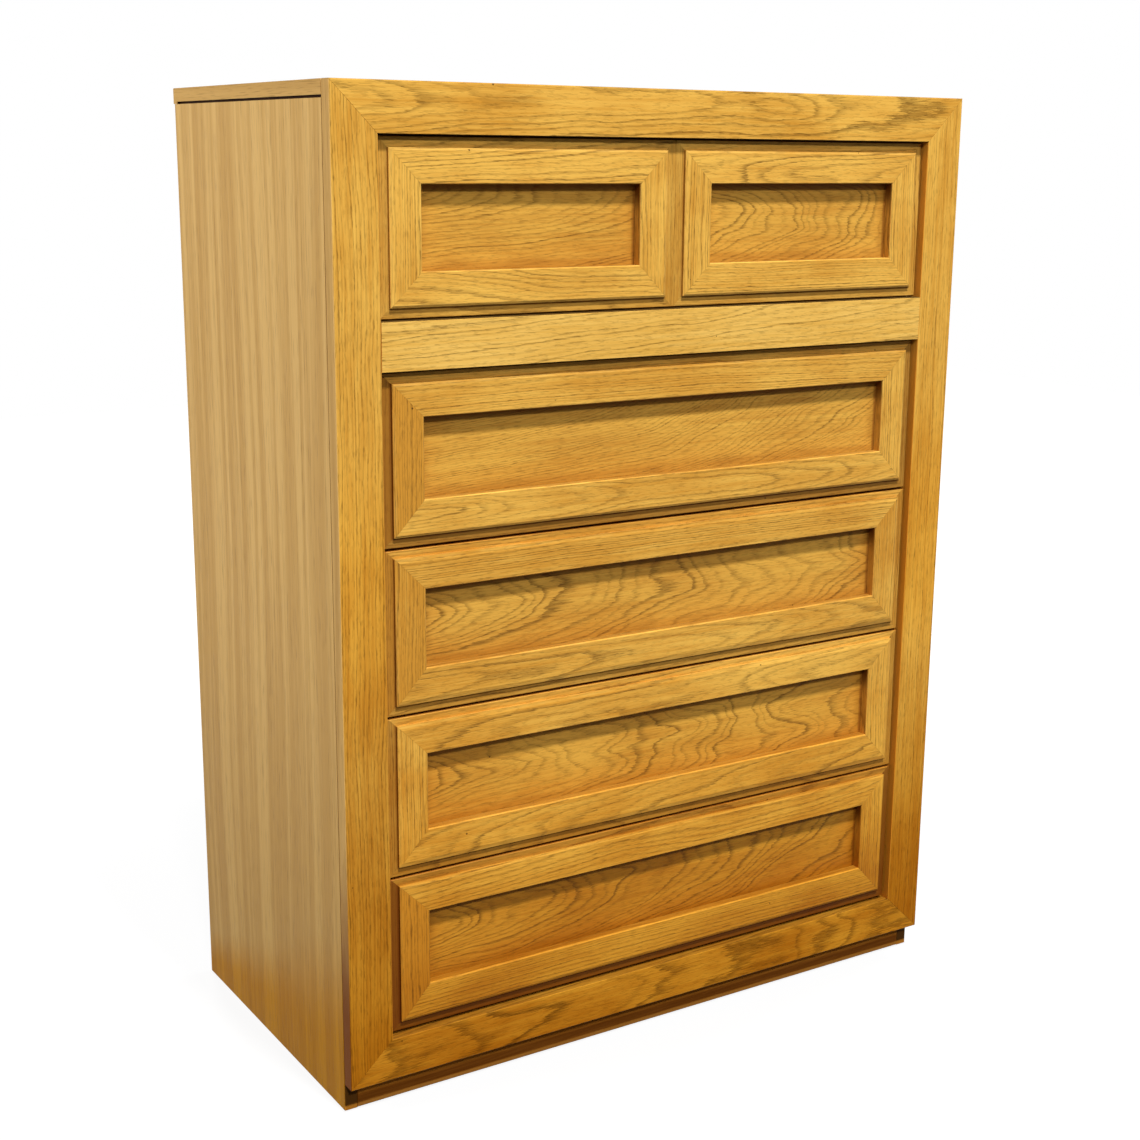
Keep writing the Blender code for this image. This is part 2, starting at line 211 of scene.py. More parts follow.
# A stile, in metres above the floor: where its amber starts, is full, wanes and ends; where the brown at
# the foot of its outer edge is full and ends, and how ragged that is. How far the rub reaches from its edges.
RIPE_START, RIPE_FULL, RIPE_WANE, RIPE_END = 0.42, 0.60, 0.68, 0.97
RETURN_FULL, RETURN_END, RETURN_RAGGED = 0.24, 0.50, 0.2
BOARD_RUB = 0.004

# The toe board, in metres above the floor: where its painted shadow starts to lift and is least, to where its
# foot is painted as fully lit and where that ends, and how ragged that is. Shares of the least shadow and of
# the lit foot.
SHADE_LIFT, SHADE_LEAST = 0.015, 0.022
LIT_FULL, LIT_END, LIT_RAGGED = 0.003, 0.0075, 0.004
LEAST_SHADE, LIT_SHARE = 0.5, 0.85


def stain(red, green, blue):
    """A colour given as it looks on a screen, 0 to 255, turned to linear light."""
    def linear(level):
        share = level / 255
        return share / 12.92 if share <= 0.04045 else ((share + 0.055) / 1.055) ** 2.4
    return (linear(red), linear(green), linear(blue), 1.0)


# Golden oak of the face frame, the drawer fronts and their panels.
PALE_GOLD = stain(241, 189, 86)
DEEP_GOLD = stain(209, 147, 53)
RAIL_PALE = stain(246, 200, 104)
RAIL_DEEP = stain(226, 172, 74)
PANEL_PALE = stain(232, 178, 76)
PANEL_DEEP = stain(200, 140, 52)
RING_BROWN = stain(112, 76, 26)
PORE_BROWN = stain(92, 58, 18)
# Brown of painted shade, and of glaze and mitre lines.
SHADE_AND_GLAZE_BROWN = stain(112, 62, 14)
AMBER_GLAZE = stain(216, 138, 40)
# Amber painted on a stile's inner edge as bounced light.
INNER_BOUNCE_AMBER = stain(240, 158, 48)
RUBBED_GOLD = stain(246, 205, 112)
# Brown of specks, and of painted shade in the groove, on the rails' hidden edges and at the sides' toe edges.
SPECK_AND_SHADE_BROWN = stain(52, 30, 12)

# Ribbon veneer of the sides and the top, greyed by a painted sheen, and the foot of the stiles' outer edges.
SHEEN_VENEER_LIGHT = stain(225, 183, 113)
SHEEN_VENEER_DARK = stain(204, 160, 93)
VENEER_PORE = stain(128, 90, 44)
RETURN_BROWN = stain(120, 64, 6)

# Toe board, secondary wood and hardboard.
TOE_BROWN = stain(246, 160, 56)
TOE_DARK = stain(206, 126, 36)
# Orange of the toe's foot, painted as lit below the shadow of the bottom rail.
TOE_LIT_FOOT = stain(216, 147, 66)
PLAIN_LIGHT = stain(214, 184, 138)
PLAIN_DARK = stain(190, 152, 102)
PLAIN_RING = stain(158, 116, 70)
HARDBOARD_PALE = stain(150, 104, 62)
HARDBOARD_DEEP = stain(112, 72, 38)

# Tones: linear factors that a colour is multiplied by.
LOW_TONE = (0.57, 0.43, 0.20, 1.0)
AMBER_LOW = (1.0, 0.84, 0.42, 1.0)
# Painted shade on the drawer fronts' own edges, seen in the gaps.
EDGE_SHADE = (0.50, 0.34, 0.25, 1.0)
STILE_AMBER = (0.97, 0.86, 0.60, 1.0)
VENEER_LOW = (0.80, 0.77, 0.68, 1.0)
# Painted amber reflection of the floor, low on the sides.
FLOOR_REFLECTION_AMBER = (0.88, 0.63, 0.06, 1.0)
RETURN_TONE = (0.86, 0.82, 0.76, 1.0)
# Painted shade on the top and on faces on top.
TOP_SHADE = (0.60, 0.57, 0.49, 1.0)
TOE_SHADE = (0.34, 0.28, 0.27, 1.0)


class Nodes:
    """Adds nodes to one node tree and joins them."""

    def __init__(self, tree):
        self.tree = tree

    def add(self, kind, **settings):
        node = self.tree.nodes.new(kind)
        for name, value in settings.items():
            setattr(node, name, value)
        return node

    def feed(self, socket, value):
        if isinstance(value, bpy.types.NodeSocket):
            self.tree.links.new(value, socket)
        else:
            socket.default_value = value

    def feed_all(self, node, values):
        for socket, value in zip(node.inputs, values):
            self.feed(socket, value)
        return node.outputs[0]

    def math(self, operation, *values):
        return self.feed_all(self.add("ShaderNodeMath", operation=operation), values)

    def times(self, first, second):
        return self.math("MULTIPLY", first, second)

    def scale_add(self, value, factor, added):
        return self.math("MULTIPLY_ADD", value, factor, added)

    def invert(self, share):
        return self.math("SUBTRACT", 1.0, share)

    def centred(self, noise):
        return self.math("SUBTRACT", noise, 0.5)

    def rise(self, value, low, high, start=0.0, end=1.0):
        """Goes smoothly from start to end while the value goes from low to high."""
        node = self.add("ShaderNodeMapRange", interpolation_type="SMOOTHSTEP")
        return self.feed_all(node, (value, low, high, start, end))

    def fade(self, value, low, high, start=1.0, end=0.0):
        return self.rise(value, low, high, start, end)

    def vector(self, *values):
        return self.feed_all(self.add("ShaderNodeCombineXYZ"), values)

    def split(self, vector):
        node = self.add("ShaderNodeSeparateXYZ")
        self.feed(node.inputs[0], vector)
        return node.outputs

    def vectors(self, operation, first, second):
        return self.feed_all(self.add("ShaderNodeVectorMath", operation=operation), (first, second))

    def noise(self, place, waves, detail=1.0, roughness=0.5):
        node = self.add("ShaderNodeTexNoise")
        self.feed(node.inputs["Vector"], self.vectors("MULTIPLY", place, waves))
        node.inputs["Scale"].default_value = 1.0
        node.inputs["Detail"].default_value = detail
        node.inputs["Roughness"].default_value = roughness
        return node.outputs[0]

    def noise_line(self, position):
        node = self.add("ShaderNodeTexNoise", noise_dimensions="1D")
        self.feed(node.inputs["W"], position)
        node.inputs["Scale"].default_value = 1.0
        node.inputs["Detail"].default_value = 1.0
        return node.outputs[0]

    def chance(self, number):
        node = self.add("ShaderNodeTexWhiteNoise", noise_dimensions="1D")
        self.feed(node.inputs["W"], number)
        return node.outputs["Value"]

    def blend(self, share, first, second, way="MIX"):
        node = self.add("ShaderNodeMix", data_type="RGBA", blend_type=way)
        self.feed(node.inputs[0], share)
        self.feed(node.inputs[6], first)
        self.feed(node.inputs[7], second)
        return node.outputs[2]

    def tint(self, share, colour, tone):
        return self.blend(share, colour, tone, "MULTIPLY")

    def place(self, group, **values):
        """Puts a node group in; an underscore in a word stands for the space in the socket's name."""
        node = self.add("ShaderNodeGroup", node_tree=group)
        for word, value in values.items():
            self.feed(node.inputs[word.replace("_", " ")], value)
        return node.outputs

    def give(self, sockets, **values):
        """Feeds a group's outputs, with the same underscores."""
        for word, value in values.items():
            self.feed(sockets[word.replace("_", " ")], value)

    def object_place(self):
        return self.add("ShaderNodeTexCoord").outputs["Object"]

    def floor_height(self):
        return self.split(self.object_place())[2]

    def board_place(self, centre, turn):
        """Object coordinates turned and centred on a board, with +X along its grain."""
        mapping = self.add("ShaderNodeMapping", vector_type="TEXTURE")
        self.feed(mapping.inputs["Vector"], self.object_place())
        mapping.inputs["Location"].default_value = centre
        mapping.inputs["Rotation"].default_value = turn
        return mapping.outputs[0]

    def seen(self):
        """1 for the rays that show a surface: straight, mirrored or through glass."""
        rays = self.add("ShaderNodeLightPath").outputs
        shown = self.math("MAXIMUM", rays["Is Camera Ray"], rays["Is Glossy Ray"])
        return self.math("MAXIMUM", shown, rays["Is Transmission Ray"])


def start_group(name, takes, gives):
    """A new node group: its nodes, the sockets that it takes and the sockets that it gives."""
    tree = bpy.data.node_groups.new(name, "ShaderNodeTree")
    for word, kind in takes.items():
        tree.interface.new_socket(word, in_out="INPUT", socket_type=kind)
    for word, kind in gives.items():
        tree.interface.new_socket(word, in_out="OUTPUT", socket_type=kind)
    nodes = Nodes(tree)
    return nodes, nodes.add("NodeGroupInput").outputs, nodes.add("NodeGroupOutput").inputs


def make_board_figure():
    """Growth rings of a log as a flat-sawn board cuts them, with open pores along the grain."""
    n, takes, gives = start_group(
        "board_figure",
        {"Place": VECTOR, "Seed": FLOAT, "Heart Side": FLOAT, "Heart Depth": FLOAT, "Heart Tilt": FLOAT,
         "Ring Pitch": FLOAT, "Wander": FLOAT},
        {"Rings": FLOAT, "Pores": FLOAT, "Streaks": FLOAT})
    seed, wander = takes["Seed"], takes["Wander"]
    along, across, through = n.split(takes["Place"])
    grain = n.vectors("ADD", takes["Place"], n.vectors("MULTIPLY", n.vector(seed, seed, seed), SEED_STEP))
    sway = n.centred(n.noise(grain, SWAY_WAVES, detail=2.0))
    swell = n.centred(n.noise(n.vectors("ADD", grain, SWELL_STEP), SWELL_WAVES, detail=2.0))
    side = n.scale_add(sway, wander, n.math("SUBTRACT", across, takes["Heart Side"]))
    depth = n.math("ADD", takes["Heart Depth"], n.scale_add(along, takes["Heart Tilt"], through))
    depth = n.scale_add(swell, wander, depth)
    radius = n.math("SQRT", n.math("ADD", n.times(side, side), n.times(depth, depth)))
    uneven = n.noise_line(n.scale_add(radius, RING_WAVES, seed))
    ripple = n.centred(n.noise(grain, RIPPLE_WAVES, detail=2.0))
    jag = n.centred(n.noise(grain, JAG_WAVES, detail=2.0))
    years = n.scale_add(uneven, UNEVEN_RINGS, n.math("DIVIDE", radius, takes["Ring Pitch"]))
    years = n.scale_add(ripple, RIPPLE_RINGS, years)
    years = n.scale_add(jag, JAG_RINGS, years)
    part = n.math("FRACT", years)
    early = n.times(n.rise(part, 0.0, EARLY_PEAK), n.fade(part, EARLY_PEAK, EARLY_END))
    strength = n.chance(n.scale_add(seed, RING_SEED, n.math("FLOOR", years)))
    rings = n.times(early, n.scale_add(strength, 1.0 - FAINT_RING, FAINT_RING))
    dashes = n.rise(n.noise(grain, DASH_WAVES, detail=2.0), PORE_START, PORE_FULL)
    pores = n.times(dashes, n.scale_add(rings, 1.0 - LATE_PORES, LATE_PORES))
    broad = n.noise(grain, BROAD_WAVES, detail=3.0, roughness=0.6)
    fine = n.noise(grain, FINE_WAVES, detail=2.0, roughness=0.6)
    streaks = n.scale_add(broad, BROAD_SHARE, n.times(fine, FINE_SHARE))
    n.give(gives, Rings=rings, Pores=pores, Streaks=streaks)
    return n.tree


def make_mitred_frame():
    """Tells the four mitred members round a window apart and turns the grain along each.

    Outside is the distance from the window. Below the window it is scaled, so that a broader
    member counts as the others do.
    """
    n, takes, gives = start_group(
        "mitred_frame",
        {"Place": VECTOR, "Window Width": FLOAT, "Window Height": FLOAT, "Low Scale": FLOAT, "Seed": FLOAT},
        {"Place": VECTOR, "Seed": FLOAT, "Heart Side": FLOAT, "Heart Depth": FLOAT, "Heart Tilt": FLOAT,
         "Outside": FLOAT, "Mitre": FLOAT, "Tone": FLOAT, "Upright": FLOAT, "Top": FLOAT, "Left": FLOAT})
    across, upright, out = n.split(takes["Place"])
    right = n.math("GREATER_THAN", across, 0.0)
    top = n.math("GREATER_THAN", upright, 0.0)
    beside = n.math("SUBTRACT", n.math("ABSOLUTE", across), takes["Window Width"])
    above = n.math("SUBTRACT", n.math("ABSOLUTE", upright), takes["Window Height"])
    above = n.times(above, n.scale_add(n.invert(takes["Low Scale"]), top, takes["Low Scale"]))
    is_upright = n.math("GREATER_THAN", beside, above)
    is_level = n.invert(is_upright)
    turned = n.add("ShaderNodeMix", data_type="VECTOR")
    n.feed(turned.inputs[0], is_upright)
    n.feed(turned.inputs[4], takes["Place"])
    n.feed(turned.inputs[5], n.vector(upright, across, out))
    # The members' numbers: 0 below, 1 above, 3 on the left and 5 on the right.
    member = n.scale_add(is_upright, n.scale_add(right, 2.0, 3.0), n.times(is_level, top))
    seed = n.scale_add(member, MEMBER_SEED, takes["Seed"])
    heart = n.centred(n.chance(n.math("ADD", seed, SIDE_DRAW)))
    from_mitre = n.math("ABSOLUTE", n.math("SUBTRACT", beside, above))
    whole = n.rise(n.noise(takes["Place"], MITRE_WAVES, detail=2.0), 0.35, 0.60)
    n.give(gives,
           Place=turned.outputs[1],
           Seed=seed,
           Heart_Side=n.scale_add(n.math("SIGN", heart), SIDE_LEAST, n.times(heart, SIDE_SPREAD)),
           Heart_Depth=n.scale_add(n.chance(n.math("ADD", seed, DEPTH_DRAW)), DEPTH_SPREAD, DEPTH_LEAST),
           Heart_Tilt=n.times(n.centred(n.chance(seed)), TILT_SPREAD),
           Outside=n.math("MAXIMUM", beside, above),
           Mitre=n.times(n.fade(from_mitre, MITRE_FULL, MITRE_END), whole),
           Tone=n.centred(n.chance(n.math("ADD", seed, TONE_DRAW))),
           Upright=is_upright,
           Top=n.times(is_level, top),
           Left=n.times(is_upright, n.invert(right)))
    return n.tree


def make_border_glaze_and_shade():
    """Painted shade round a sunk panel, with glaze and painted shadow at its head and ends, and an amber wash
    low on it.
    """
    n, takes, gives = start_group(
        "border_glaze_and_shade",
        {"Place": VECTOR, "Half Width": FLOAT, "Half Height": FLOAT, "Reach": FLOAT, "Seed": FLOAT},
        {"Glaze": FLOAT, "Wash": FLOAT})
    across, upright, _ = n.split(takes["Place"])
    moved = n.vectors("ADD", takes["Place"], n.vector(takes["Seed"], takes["Seed"], 0.0))
    blotch = n.centred(n.noise(moved, BLOTCH_WAVES, detail=3.0))
    from_end = n.math("SUBTRACT", takes["Half Width"], n.math("ABSOLUTE", across))
    from_foot = n.math("ADD", takes["Half Height"], upright)
    from_head = n.math("SUBTRACT", takes["Half Height"], upright)
    from_edge = n.math("MINIMUM", from_end, n.math("MINIMUM", from_foot, from_head))
    # Painted shade round the border, and a line of glaze and painted shadow at the ends and head.
    cloud = n.fade(n.scale_add(blotch, CLOUD_RAGGED, from_edge), 0.0, takes["Reach"])
    line = n.math("MAXIMUM", n.fade(from_end, END_LINE_FULL, END_LINE_END, LINE_GLAZE_AND_SHADE),
                  n.fade(from_head, HEAD_LINE_FULL, HEAD_LINE_END, LINE_GLAZE_AND_SHADE))
    low = n.scale_add(blotch, WASH_RAGGED, n.math("MINIMUM", from_foot, from_end))
    n.give(gives,
           Glaze=n.math("MAXIMUM", n.times(cloud, CLOUD_SHADE), line),
           Wash=n.fade(low, WASH_FULL, n.times(takes["Reach"], WASH_TIMES)))
    return n.tree


def make_distress():
    """Small dark specks and soft mottling scattered over a finished surface."""
    n, takes, gives = start_group(
        "distress", {"Place": VECTOR, "Seed": FLOAT}, {"Specks": FLOAT, "Mottle": FLOAT})
    moved = n.vectors("ADD", takes["Place"], n.vector(takes["Seed"], 0.0, takes["Seed"]))
    spread = n.add("ShaderNodeTexVoronoi")
    n.feed(spread.inputs["Vector"], moved)
    spread.inputs["Scale"].default_value = SPECK_CELLS
    picked, size, _ = n.split(spread.outputs["Color"])
    dot = n.math("LESS_THAN", spread.outputs["Distance"], n.scale_add(size, SPECK_SPREAD, SPECK_LEAST))
    n.give(gives,
           Specks=n.times(dot, n.math("GREATER_THAN", picked, NO_SPECK)),
           Mottle=n.noise(moved, MOTTLE_WAVES, detail=4.0, roughness=0.55))
    return n.tree


def make_oak_stain():
    """Golden stain on oak: gold by streak, brown in rings and pores, then painted shade, glaze, mitres, rub
    and specks.

    Height is the height above the floor: the colour is darker below Low Reach and more amber near the floor.
    """
    n, takes, gives = start_group(
        "oak_stain",
        {"Rings": FLOAT, "Pores": FLOAT, "Streaks": FLOAT, "Mottle": FLOAT, "Specks": FLOAT, "Glaze": FLOAT,
         "Wash": FLOAT, "Rub": FLOAT, "Ring Depth": FLOAT, "Height": FLOAT, "Low Reach": FLOAT,
         "Pale": COLOUR, "Deep": COLOUR},
        {"Colour": COLOUR, "Roughness": FLOAT, "Relief": FLOAT})
    mottle, pores = takes["Mottle"], takes["Pores"]
    gold = n.scale_add(mottle, MOTTLE_SHARE, n.times(takes["Streaks"], STREAK_SHARE))
    colour = n.blend(n.rise(gold, DEEP_LEVEL, PALE_LEVEL), takes["Deep"], takes["Pale"])
    colour = n.blend(n.times(takes["Wash"], WASH_SHARE), colour, AMBER_GLAZE)
    colour = n.blend(n.times(takes["Rings"], takes["Ring Depth"]), colour, RING_BROWN)
    colour = n.blend(n.times(pores, PORE_SHARE), colour, PORE_BROWN)
    # Painted shade, with glaze and mitre lines.
    colour = n.blend(takes["Glaze"], colour, SHADE_AND_GLAZE_BROWN)
    colour = n.blend(n.times(takes["Rub"], RUB_SHARE), colour, RUBBED_GOLD)
    colour = n.blend(n.times(takes["Specks"], SPECK_SHARE), colour, SPECK_AND_SHADE_BROWN)
    height = n.scale_add(n.centred(mottle), LOW_RAGGED, takes["Height"])
    colour = n.tint(n.fade(height, LOW_FULL, takes["Low Reach"]), colour, LOW_TONE)
    colour = n.tint(n.fade(height, AMBER_FULL, AMBER_END), colour, AMBER_LOW)
    rough = n.scale_add(pores, PORE_ROUGH, n.scale_add(mottle, MOTTLE_ROUGH, STAIN_ROUGH))
    hollows = n.scale_add(takes["Rings"], RING_HOLLOW, n.times(pores, PORE_HOLLOW))
    n.give(gives,
           Colour=colour,
           Roughness=n.scale_add(takes["Glaze"], DARKENING_ROUGH, rough),
           Relief=n.math("SUBTRACT", hollows, takes["Specks"]))
    return n.tree


def make_rubbed_edge():
    """Paler finish where hands and cloths have rubbed along an arris."""
    n, takes, gives = start_group(
        "rubbed_edge", {"Distance": FLOAT, "Reach": FLOAT, "Place": VECTOR}, {"Rub": FLOAT})
    patch = n.rise(n.noise(takes["Place"], RUB_WAVES, detail=3.0), 0.38, 0.62)
    near = n.fade(n.math("ABSOLUTE", takes["Distance"]), 0.0, takes["Reach"])
    n.give(gives, Rub=n.times(near, patch))
    return n.tree


def make_ribbon_veneer():
    """Straight-grained veneer with soft light and dark ribbons and fine pore lines."""
    n, takes, gives = start_group(
        "ribbon_veneer",
        {"Place": VECTOR, "Seed": FLOAT},
        {"Ribbon": FLOAT, "Lines": FLOAT, "Pores": FLOAT})
    moved = n.vectors("ADD", takes["Place"], n.vector(takes["Seed"], takes["Seed"], 0.0))
    bend = n.centred(n.noise(moved, BEND_WAVES))
    along, across, through = n.split(moved)
    bent = n.vector(along, n.scale_add(bend, RIBBON_BEND, across), through)
    n.give(gives,
           Ribbon=n.rise(n.noise(bent, RIBBON_WAVES, detail=2.0, roughness=0.6), 0.33, 0.67),
           Lines=n.noise(bent, LINE_WAVES, detail=2.0, roughness=0.65),
           Pores=n.rise(n.noise(bent, PORE_WAVES), 0.56, 0.72))
    return n.tree


FIGURE = make_board_figure()
MITRED = make_mitred_frame()
BORDER = make_border_glaze_and_shade()
DISTRESS = make_distress()
OAK = make_oak_stain()
RUBBED = make_rubbed_edge()
RIBBON = make_ribbon_veneer()


def start_finish(name, sheen):
    """A new finish with its specular level: the material, its nodes and its shader."""
    material = bpy.data.materials.new(name)
    material.use_nodes = True
    nodes = Nodes(material.node_tree)
    shader = nodes.tree.nodes["Principled BSDF"]
    shader.inputs["Specular IOR Level"].default_value = sheen
    return material, nodes, shader


def join_finish(nodes, shader, colour, roughness, height, relief):
    """Joins a finish to its shader; relief is the depth of the pattern in metres."""
    nodes.feed(shader.inputs["Base Color"], colour)
    nodes.feed(shader.inputs["Roughness"], roughness)
    bump = nodes.add("ShaderNodeBump")
    bump.inputs["Strength"].default_value = BUMP_STRENGTH
    bump.inputs["Distance"].default_value = relief
    nodes.feed(bump.inputs["Height"], height)
    nodes.feed(shader.inputs["Normal"], bump.outputs[0])


def dress(node, material):
    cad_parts[node].material_slots[0].material = material


def middle_and_half(node):
    low, high = (Vector(head_shadow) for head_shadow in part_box(node))
    return (low + high) / 2, (high - low) / 2


def cut_figure(n, place, seed, heart, pitch, wander):
    """A board's figure; heart is the pith's place to the side, its depth and its tilt."""
    side, depth, tilt = heart
    return n.place(FIGURE, Place=place, Seed=seed, Heart_Side=side, Heart_Depth=depth, Heart_Tilt=tilt,
                   Ring_Pitch=pitch, Wander=wander)


def stain_oak(n, figure, wear, **values):
    """The golden stain over a board's figure and wear; the values are its other inputs."""
    given = dict(Rings=figure["Rings"], Pores=figure["Pores"], Streaks=figure["Streaks"],
                 Mottle=wear["Mottle"], Specks=wear["Specks"], Glaze=0.0, Wash=0.0, Rub=0.0,
                 Height=n.floor_height())
    given.update(values)
    return n.place(OAK, **given)


def veneer_colour(n, place, seed):
    """Colour and pores of the gold ribbon veneer, greyed by a painted sheen."""
    ribbon = n.place(RIBBON, Place=place, Seed=seed)
    tone = n.scale_add(ribbon["Lines"], LINE_SHARE, n.times(ribbon["Ribbon"], RIBBON_SHARE))
    colour = n.blend(n.rise(tone, VENEER_LOW_LEVEL, VENEER_HIGH_LEVEL), SHEEN_VENEER_DARK, SHEEN_VENEER_LIGHT)
    return n.blend(n.times(ribbon["Pores"], VENEER_PORES), colour, VENEER_PORE), ribbon["Pores"]


def side_board(node, seed):
    """A veneered side with a painted sheen, a painted amber floor reflection low down and painted shade at
    its front edge.
    """
    middle, half = middle_and_half(node)
    material, n, shader = start_finish(node + "_veneer", FACE_SHEEN)
    place = n.board_place(middle, SIDE_WAY)
    colour, pores = veneer_colour(n, place, seed)
    wear = n.place(DISTRESS, Place=place, Seed=seed)
    along, across, _ = n.split(place)
    from_foot = n.math("ADD", along, half.z)
    ragged = n.scale_add(n.centred(wear["Mottle"]), SIDE_RAGGED, from_foot)
    # Painted amber reflection of the floor, rising towards the front.
    reflection_top = n.scale_add(n.math("SUBTRACT", half.y, across), REFLECTION_RISE, REFLECTION_BACK)
    floor_reflection = n.fade(n.math("DIVIDE", ragged, reflection_top), SIDE_REFLECTION_FULL, SIDE_REFLECTION_END)
    colour = n.tint(floor_reflection, colour, FLOOR_REFLECTION_AMBER)
    colour = n.tint(n.fade(ragged, 0.0, SIDE_LOW_END), colour, VENEER_LOW)
    # The front edge at the toe is painted dark as shade, lit at the foot like the toe board.
    toe_edge = n.math("LESS_THAN", n.math("ADD", across, half.y), TOE_EDGE_SKIN)
    toe_edge_shade = n.rise(from_foot, SHADE_START, SHADE_FULL, 0.0, TOE_EDGE_SHADE_SHARE)
    colour = n.blend(toe_edge, colour, n.blend(toe_edge_shade, TOE_BROWN, SPECK_AND_SHADE_BROWN))
    rough = n.scale_add(wear["Mottle"], VENEER_MOTTLE, VENEER_ROUGH)
    join_finish(n, shader, colour, rough, n.times(pores, -1.0), VENEER_RELIEF)
    dress(node, material)


def top_board(node, seed, strip_seed):
    """The veneered top in painted shade, its groove painted dark, with edge strips at its ends grained front
    to back.
    """
    middle, half = middle_and_half(node)
    material, n, shader = start_finish(node + "_veneer", TOP_SHEEN)
    place = n.board_place(middle, LAID_FLAT)
    along, _, through = n.split(place)
    colour, pores = veneer_colour(n, place, seed)
    # The top is painted darker as shade.
    colour = n.tint(TOP_SHADE_SHARE, colour, TOP_SHADE)
    # The wall of the groove is painted dark as its shadow.
    groove_shade = n.math("LESS_THAN", n.math("ADD", through, half.z), GROOVE_HEIGHT)
    colour = n.blend(groove_shade, colour, SPECK_AND_SHADE_BROWN)
    strip_colour, _ = veneer_colour(n, n.board_place(middle, END_WAY), strip_seed)
    from_end = n.math("SUBTRACT", half.x, n.math("ABSOLUTE", along))
    is_strip = n.math("LESS_THAN", from_end, STRIP_SKIN)
    colour = n.blend(is_strip, colour, n.tint(1.0, strip_colour, RETURN_TONE))
    wear = n.place(DISTRESS, Place=place, Seed=seed)
    rough = n.scale_add(wear["Mottle"], VENEER_MOTTLE, TOP_ROUGH)
    join_finish(n, shader, colour, rough, n.times(pores, -1.0), VENEER_RELIEF)
    dress(node, material)


def oak_board(node, turn, seed, heart, pitch, wander=0.03, ring_depth=0.7, low_reach=0.5,
              pale=PALE_GOLD, deep=DEEP_GOLD, hidden_edge_shade=0.92):
    """A solid oak board of the face frame, a rail or a stile.

    Hidden edges of a rail, and faces on top, are painted darker as shade. A stile's inner edge is painted
    amber as bounced light, and its outer edge carries on the veneer of the side and ends brown at the foot.
    """
    middle, half = middle_and_half(node)
    material, n, shader = start_finish(node + "_oak", FACE_SHEEN)
    place = n.board_place(middle, turn)
    figure = cut_figure(n, place, seed, heart, pitch, wander)
    wear = n.place(DISTRESS, Place=place, Seed=seed)
    across = n.split(place)[1]
    across_half = half.x if turn == STILE_WAY else half.z
    from_edge = n.math("SUBTRACT", across_half, n.math("ABSOLUTE", across))
    rub = n.place(RUBBED, Distance=from_edge, Reach=BOARD_RUB, Place=place)
    coat = stain_oak(n, figure, wear, Rub=rub["Rub"], Ring_Depth=ring_depth, Low_Reach=low_reach,
                     Pale=pale, Deep=deep)
    edge_face = n.math("LESS_THAN", from_edge, EDGE_SKIN)
    height = n.floor_height()
    # Faces on top are painted darker as shade.
    top_face = n.math("GREATER_THAN", height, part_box("top_board")[1][2] - EDGE_SKIN)
    colour = n.tint(top_face, coat["Colour"], TOP_SHADE)
    if turn == RAIL_WAY:
        # A rail's hidden edges are painted dark as shade.
        hidden = n.times(edge_face, n.invert(top_face))
        colour = n.blend(n.times(hidden, hidden_edge_shade), colour, SPECK_AND_SHADE_BROWN)
    if turn == STILE_WAY:
        ripe = n.times(n.rise(height, RIPE_START, RIPE_FULL), n.fade(height, RIPE_WANE, RIPE_END))
        colour = n.tint(ripe, colour, STILE_AMBER)
        outward = n.math("GREATER_THAN", n.times(across, middle.x), 0.0)
        # The inner edge is painted amber as bounced light.
        inner = n.times(edge_face, n.invert(outward))
        colour = n.blend(n.times(inner, INNER_BOUNCE_SHARE), colour, INNER_BOUNCE_AMBER)
        returned, _ = veneer_colour(n, n.board_place(middle, SIDE_WAY), seed)
        returned = n.tint(1.0, returned, RETURN_TONE)
        low = n.fade(n.scale_add(wear["Mottle"], RETURN_RAGGED, height), RETURN_FULL, RETURN_END)
        returned = n.blend(low, returned, RETURN_BROWN)
        colour = n.blend(n.times(edge_face, outward), colour, returned)
    join_finish(n, shader, colour, coat["Roughness"], coat["Relief"], SOLID_RELIEF)
    dress(node, material)


